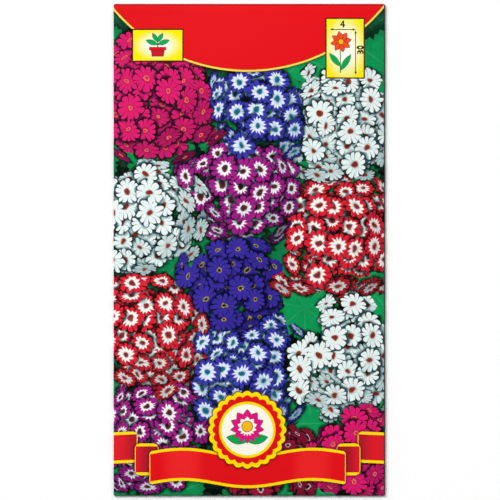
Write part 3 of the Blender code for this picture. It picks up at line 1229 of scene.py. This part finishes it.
def thicken_sheet(sheet):
    """Gives the paper its thickness, with its own materials inside and along the cut edges."""
    shell = sheet.modifiers.new("paper_thickness", "SOLIDIFY")
    shell.thickness = PAPER
    shell.offset = 0.0
    shell.use_even_offset = True
    shell.material_offset = 1
    shell.material_offset_rim = 2
    bpy.ops.object.modifier_apply(modifier=shell.name)


# Where each part of the flat sheet goes on the square that its finish is baked on: left, low,
# right and top. The front panel takes most of it.
BAKE_MAP = "OFBake"
BAKE_BOXES = {
    "front": (0.004, 0.004, 0.556, 0.996),
    "left_flap": (0.568, 0.250, 0.776, 0.996),
    "right_flap": (0.788, 0.250, 0.996, 0.996),
    "top_flap": (0.568, 0.130, 0.996, 0.238),
    "bottom_flap": (0.568, 0.056, 0.996, 0.118),
    "inside": (0.568, 0.004, 0.776, 0.044),
    "cut_edge": (0.788, 0.004, 0.996, 0.044),
}


def sheet_parts():
    """The corners of each part on the flat sheet: left, low, right and top."""
    side, end = HALF_WIDTH + SIDE_ARC, HALF_HEIGHT + END_ARC
    whole = (-side - SIDE_REACH, -end - TOP_FLAP, side + SIDE_REACH, end + TOP_FLAP)
    return {
        "front": (-side, -end, side, end),
        "left_flap": (-side - SIDE_REACH, -end, -side, end),
        "right_flap": (side, -end, side + SIDE_REACH, end),
        "top_flap": (-side, end, side, end + TOP_FLAP),
        "bottom_flap": (-side, -end - BOTTOM_FLAP, side, -end),
        "inside": whole,
        "cut_edge": whole,
    }


def part_of_sheet(face, middle):
    """Which part of the sheet a face of the finished envelope belongs to."""
    side, end = HALF_WIDTH + SIDE_ARC, HALF_HEIGHT + END_ARC
    if face.material_index not in (FRONT_PRINT, BACK_PRINT):
        return "inside" if face.material_index in (FRONT_PRINT + 1, BACK_PRINT + 1) else "cut_edge"
    if abs(middle.x) > side:
        return "right_flap" if middle.x > 0 else "left_flap"
    if abs(middle.y) > end:
        return "top_flap" if middle.y > 0 else "bottom_flap"
    return "front"


def lay_out_for_baking(sheet):
    """Gives every part of the sheet a box of its own on the square that its finish is baked on."""
    parts = sheet_parts()
    sheet.data.uv_layers.new(name=BAKE_MAP)
    flat = sheet.data.uv_layers[SHEET_MAP].data
    baked = sheet.data.uv_layers[BAKE_MAP].data
    for face in sheet.data.polygons:
        places = [flat[loop].uv for loop in face.loop_indices]
        middle = sum((Vector(place) for place in places), Vector((0, 0))) / len(places)
        name = part_of_sheet(face, middle)
        part, box = parts[name], BAKE_BOXES[name]
        for loop, place in zip(face.loop_indices, places):
            for axis in (0, 1):
                span = part[axis + 2] - part[axis]
                side = box[axis + 2] - box[axis]
                baked[loop].uv[axis] = box[axis] + side * (place[axis] - part[axis]) / span


def make_envelope():
    """The whole envelope, from the cut sheet to the folded and printed one."""
    sheet = cut_sheet()
    taper_flaps(sheet)
    record_flat_places(sheet)
    choose_printed_faces(sheet)
    fold_sheet(sheet)
    inside = plain_paper("inside_paper", "F4F2EC", 0.75)
    edge = plain_paper("cut_paper_edge", "ECE9E0", 0.85)
    for material in (printed_front(), inside, edge, printed_back(), inside, edge):
        sheet.data.materials.append(material)
    thicken_sheet(sheet)
    lay_out_for_baking(sheet)
    bpy.ops.object.shade_smooth_by_angle(angle=SMOOTH_UNDER)
    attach(sheet, "root")
    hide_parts("envelope")


# ================================================================ the sachet and its seeds

# The film's seals, the ribs that are crimped in them and its crumples, in millimetres, and how
# rough it is, with how much more on the seals
SEAL_WIDTH = 3.0
SEAL_SOFTNESS = 0.3
RIB_PITCH = 0.7
RIB_HEIGHT = 0.08
CRUMPLE_PITCH = 7.0
CRUMPLE_HEIGHT = 0.5
FILM_ROUGHNESS = (0.12, 0.18)
FILM_TINT = ink("E9EEF2")
FILM_ALPHA = 0.5

# The pitches of a seed's speckles and clouds, in millimetres, and its inks
SPECKLE_PITCH = 0.35
CLOUD_PITCH = 3.0
CLOUD_SHIFT = (3.7, 9.1, 0.0)
CLOUD_DEPTH = 0.5
SEED_BROWN = ink("3A2413")
SEED_TAN = ink("6B4A2C")
SEED_BLACK = ink("1F130A")


def clear_film():
    """Thin clear film, crimped and duller along its seals and slightly crumpled."""
    paint = Paint(bpy.data.materials.new("crimped_film"))
    place = paint.on_piece()
    x, y, _ = place.split()
    low, high = SACHET_LOW / MM, SACHET_HIGH / MM
    inside = (x - low.x).lowest(high.x - x).lowest(y - low.y)
    seal = inside.rise(SEAL_WIDTH + SEAL_SOFTNESS, SEAL_WIDTH)
    ribs = (inside * (math.tau / RIB_PITCH)).math("SINE")
    height = ribs * seal * RIB_HEIGHT + paint.noise(place, CRUMPLE_PITCH) * CRUMPLE_HEIGHT
    bump = paint.node("ShaderNodeBump", None, {"Height": height, "Distance": MM}, "Normal")
    looks = {"Normal": bump, "Roughness": seal.grade(*FILM_ROUGHNESS)}
    return paint.finish({**looks, "Base Color": FILM_TINT, "Alpha": FILM_ALPHA})


def seed_coat():
    """Dry brown seed coat, mottled, with dark clouds."""
    paint = Paint(bpy.data.materials.new("dry_seed_coat"))
    place = paint.on_piece()
    speckle = paint.noise(place, SPECKLE_PITCH).rise(0.35, 0.65)
    cloud = paint.noise(place + CLOUD_SHIFT, CLOUD_PITCH).rise(0.45, 0.75)
    colour = paint.mix(speckle, SEED_BROWN, SEED_TAN)
    colour = paint.mix(cloud * CLOUD_DEPTH, colour, SEED_BLACK)
    return paint.finish({"Base Color": colour, "Roughness": 0.62})


def dress(piece, material):
    """Lays a material over a piece that keeps its own mesh."""
    for slot in piece.material_slots:
        slot.link = "OBJECT"
        slot.material = material


def dress_contents():
    """The sachet and the seeds keep their own meshes."""
    dress(bpy.data.objects["inner_sachet"], clear_film())
    coat = seed_coat()
    for piece in bpy.data.objects:
        if piece.name.startswith("seed_"):
            dress(piece, coat)


# ================================================================ the studio

FLOOR_SIZE = 4.0
FLOOR_GAP = 0.02 * MM

# The square lights: each one's name, place and power. All face the packet.
LIGHT_SIZE = 3.3
LIGHTS = (
    ("key_light", (-2.80, 2.80, 3.96), 186.0),
    ("low_key_light", (-3.32, 3.32, 3.05), 173.0),
    ("soft_fill", (3.32, 3.32, 3.05), 86.0),
)

# How bright the surround is at each height, from the horizon, 0, to straight overhead, 1: pale
# behind the packet, and dim overhead, where it would show in the gloss
SURROUND = ((0.0, 0.92), (0.10, 0.88), (0.30, 0.27), (0.70, 0.26), (0.97, 0.08))


def make_floor():
    """A wide pale floor, just under the packet."""
    deselect()
    bpy.ops.mesh.primitive_plane_add(size=FLOOR_SIZE, location=(0, 0, -FLOOR_GAP))
    floor = bpy.context.object
    floor.name = "studio_floor"
    floor.data.materials.append(plain_paper("pale_floor", "FEFEFE", 0.9))


def make_camera():
    """Straight above the packet, placed so that its outline falls where the frame's pixels say."""
    height_pixels = PACKET_PIXELS["bottom"] - PACKET_PIXELS["top"]
    pixel = (PACKET_HIGH.y - PACKET_LOW.y) / height_pixels
    middle_x = (PACKET_PIXELS["left"] + PACKET_PIXELS["right"]) / 2
    middle_y = (PACKET_PIXELS["top"] + PACKET_PIXELS["bottom"]) / 2
    view = bpy.data.cameras.new("camera")
    view.lens = LENS / MM
    view.sensor_width = SENSOR / MM
    view.clip_start = CLIP_START
    camera = bpy.data.objects.new("camera", view)
    bpy.context.scene.collection.objects.link(camera)
    away = pixel * FRAME_PIXELS * LENS / SENSOR
    camera.location = (
        (FRAME_PIXELS / 2 - middle_x) * pixel,
        (middle_y - FRAME_PIXELS / 2) * pixel,
        RIM_HEIGHT + away,
    )
    bpy.context.scene.camera = camera


def make_light(name, place, power):
    """A square light that faces the packet."""
    light = bpy.data.lights.new(name, "AREA")
    light.shape = "SQUARE"
    light.size = LIGHT_SIZE
    light.energy = power
    lamp = bpy.data.objects.new(name, light)
    lamp.location = place
    lamp.rotation_euler = Vector(place).to_track_quat("Z", "Y").to_euler()
    bpy.context.scene.collection.objects.link(lamp)


def make_world():
    """The surround, which fades upwards."""
    paint = Paint(bpy.data.worlds.new("studio"), "Background")
    height = paint.node("ShaderNodeTexCoord", output="Generated").split()[2]
    stops = [(place, (bright, bright, bright, 1.0)) for place, bright in SURROUND]
    fade = paint.node("ShaderNodeValToRGB", {"stops": ("LINEAR", stops)}, {"Fac": height})
    bpy.context.scene.world = paint.finish({"Color": fade})


def make_studio():
    """The floor, the camera, the surround and the lights."""
    make_floor()
    make_camera()
    make_world()
    for light in LIGHTS:
        make_light(*light)
    bpy.context.scene.view_settings.view_transform = "Standard"


make_envelope()
dress_contents()
make_studio()
